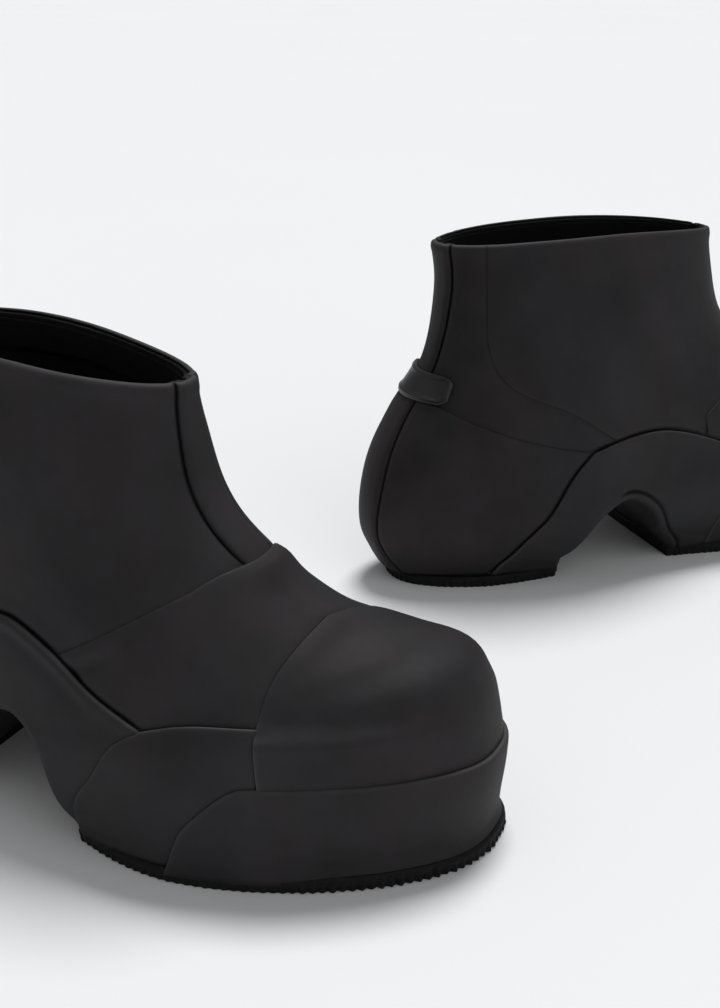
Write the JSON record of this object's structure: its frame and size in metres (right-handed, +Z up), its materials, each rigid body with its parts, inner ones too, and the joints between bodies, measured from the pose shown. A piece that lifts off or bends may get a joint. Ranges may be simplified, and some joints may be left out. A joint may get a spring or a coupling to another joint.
{
  "type": "platform ankle boots",
  "caption": "Pair of pull-on platform ankle boots laid up from overlapping black rubber sheets, with a bulbous heel, an arched waist and pinked outsoles.",
  "frame": {"origin": "on the floor, at the middle of the pair's footprint box", "axes": "+Z up; +X to the right along the pair's longest side, roughly where the toes point; +Y away from the viewer"},
  "size_m": [0.5226, 0.3849, 0.1741],
  "materials": {
    "sheet_rubber": "matte, faintly waxy black calendered sheet with soft edge lines",
    "sole_rubber": "matte moulded black rubber with a pinked edge",
    "label_rubber": "smooth satin black, blank, with a raised border",
    "foam_core": "fine closed-cell foam",
    "fibre_board": "pressed fibre board",
    "footbed_textile": "short black nap over foam",
    "spring_steel": "brushed, lightly oiled",
    "canvas": "rubberised plain-weave cotton",
    "lining_jersey": "fine black knit",
    "woven_tape": "black herringbone tape"
  },
  "bodies": {
    "right_boot": {"right_toe_cap": "sheet_rubber", "right_toe_bumper": "sheet_rubber", "right_back_strip": "sheet_rubber", "right_heel_cover_lateral": "sheet_rubber", "right_heel_cover_medial": "sheet_rubber", "right_side_foxing_lateral": "sheet_rubber", "right_side_foxing_medial": "sheet_rubber", "right_arch_band_lateral": "sheet_rubber", "right_arch_band_medial": "sheet_rubber", "right_vamp": "sheet_rubber", "right_front_strip": "sheet_rubber", "right_rear_quarter_lateral": "sheet_rubber", "right_rear_quarter_medial": "sheet_rubber", "right_leg_panel_lateral": "sheet_rubber", "right_leg_panel_medial": "sheet_rubber", "right_heel_label": "label_rubber", "right_insole_board": "fibre_board", "right_footbed": "footbed_textile", "right_shank": "spring_steel", "right_heel_core": "foam_core", "right_waist_core": "foam_core", "right_forepart_core": "foam_core", "right_arch_lining": "sheet_rubber", "right_heel_counter": "fibre_board", "right_toe_puff": "fibre_board", "right_interlining": "canvas", "right_lining_sock": "lining_jersey", "right_collar_tape": "woven_tape", "right_outsole_forepart": "sole_rubber", "right_outsole_heel": "sole_rubber"},
    "left_boot": {"left_toe_cap": "sheet_rubber", "left_toe_bumper": "sheet_rubber", "left_back_strip": "sheet_rubber", "left_heel_cover_lateral": "sheet_rubber", "left_heel_cover_medial": "sheet_rubber", "left_side_foxing_lateral": "sheet_rubber", "left_side_foxing_medial": "sheet_rubber", "left_arch_band_lateral": "sheet_rubber", "left_arch_band_medial": "sheet_rubber", "left_vamp": "sheet_rubber", "left_front_strip": "sheet_rubber", "left_rear_quarter_lateral": "sheet_rubber", "left_rear_quarter_medial": "sheet_rubber", "left_leg_panel_lateral": "sheet_rubber", "left_leg_panel_medial": "sheet_rubber", "left_heel_label": "label_rubber", "left_insole_board": "fibre_board", "left_footbed": "footbed_textile", "left_shank": "spring_steel", "left_heel_core": "foam_core", "left_waist_core": "foam_core", "left_forepart_core": "foam_core", "left_arch_lining": "sheet_rubber", "left_heel_counter": "fibre_board", "left_toe_puff": "fibre_board", "left_interlining": "canvas", "left_lining_sock": "lining_jersey", "left_collar_tape": "woven_tape", "left_outsole_forepart": "sole_rubber", "left_outsole_heel": "sole_rubber"}
  },
  "joints": [
    {"name": "left_boot_lift", "type": "slide", "parent": "right_boot", "child": "left_boot", "axis": [0, 0, 1], "range_m": [0, 0.3]}
  ]
}
